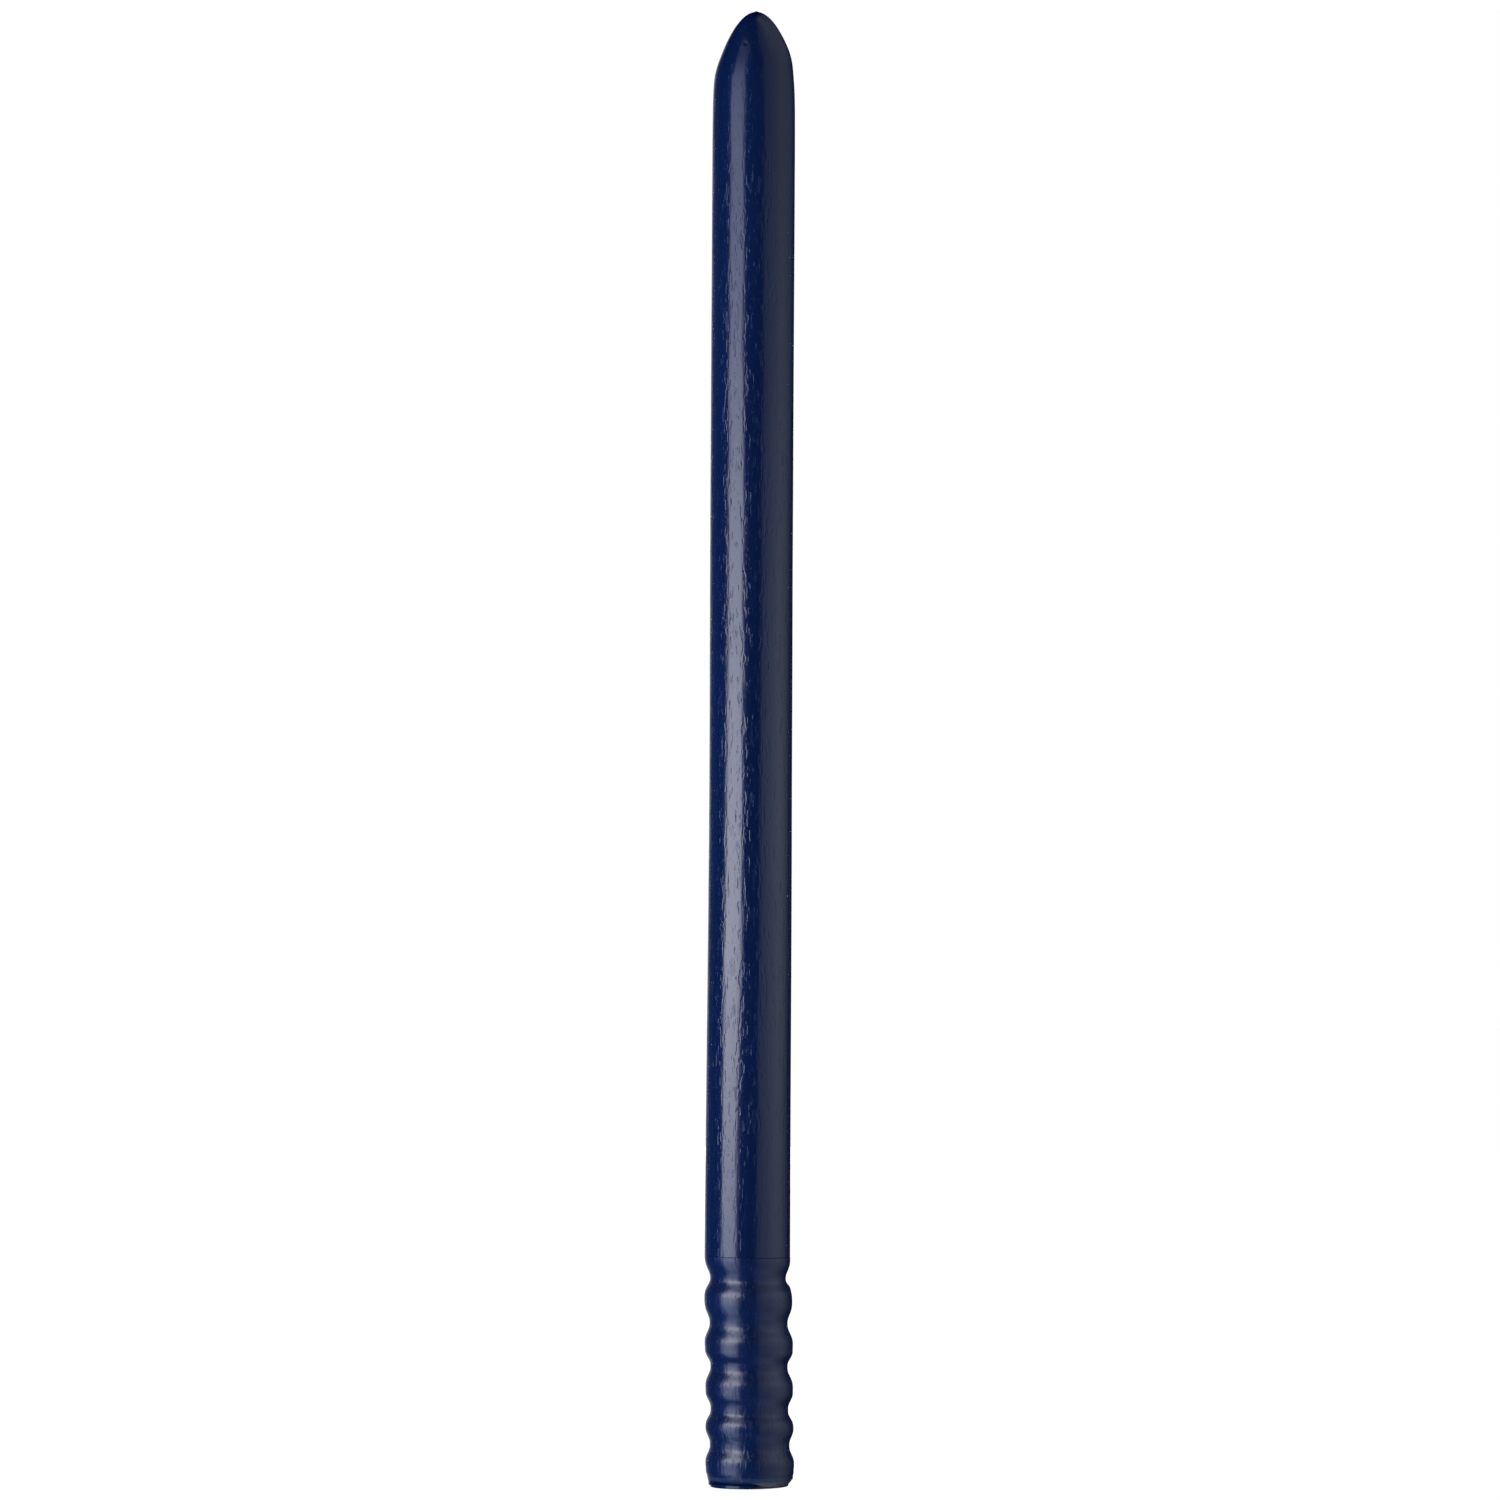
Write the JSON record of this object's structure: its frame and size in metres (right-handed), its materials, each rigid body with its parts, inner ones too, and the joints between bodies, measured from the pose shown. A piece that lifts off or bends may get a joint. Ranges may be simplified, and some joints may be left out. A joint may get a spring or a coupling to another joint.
{
  "type": "plastic crayon",
  "caption": "Slim round colouring stick of moulded plastic: bullet nose, long shaft and a ribbed grip sleeve held between a shoulder and a flat butt disc.",
  "frame": {"origin": "centre of the butt's flat face, where the crayon stands", "axes": "+Z along the crayon from the butt to the tip; X and Y across it, and -Y faces the picture's camera"},
  "size_m": [0.0072, 0.0072, 0.12],
  "materials": {
    "stick_plastic": "navy pigmented plastic, soft gloss with fine lengthwise drag marks",
    "grip_plastic": "navy pigmented plastic, soft gloss, moulded rings"
  },
  "bodies": {
    "root": {"crayon_stick": "stick_plastic", "grip_sleeve": "grip_plastic"}
  },
  "joints": []
}
